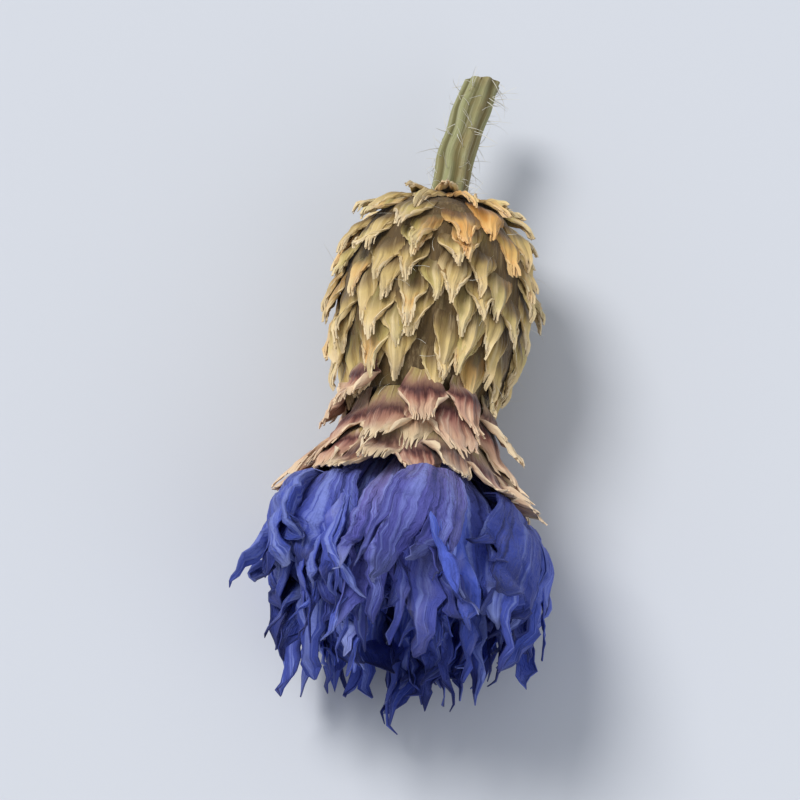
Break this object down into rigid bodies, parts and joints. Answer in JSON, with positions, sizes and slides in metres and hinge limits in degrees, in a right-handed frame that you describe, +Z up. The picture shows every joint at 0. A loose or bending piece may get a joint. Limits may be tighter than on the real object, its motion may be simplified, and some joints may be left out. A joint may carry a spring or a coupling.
{
  "type": "dried cornflower head",
  "caption": "Dried cornflower head lying on its side: barrel cup of golden scales, flared papery brown scale tips, crumpled blue trumpet florets, violet disc florets and a short stem.",
  "frame": {"origin": "middle of the part's box, on the surface that the flower head lies on", "axes": "+Y along the head from the florets' tips to the stem's end, +Z up, +X to the right when looking along +Y"},
  "size_m": [0.0138, 0.0294, 0.0122],
  "materials": {
    "stem": "matte",
    "outer_bracts": "matte",
    "inner_bracts": "matte",
    "ray_florets": "matte",
    "disc_florets": "matte"
  },
  "bodies": {
    "root": {"stem": "stem", "outer_bracts": "outer_bracts", "inner_bracts": "inner_bracts", "ray_florets": "ray_florets", "disc_florets": "disc_florets"}
  },
  "joints": []
}
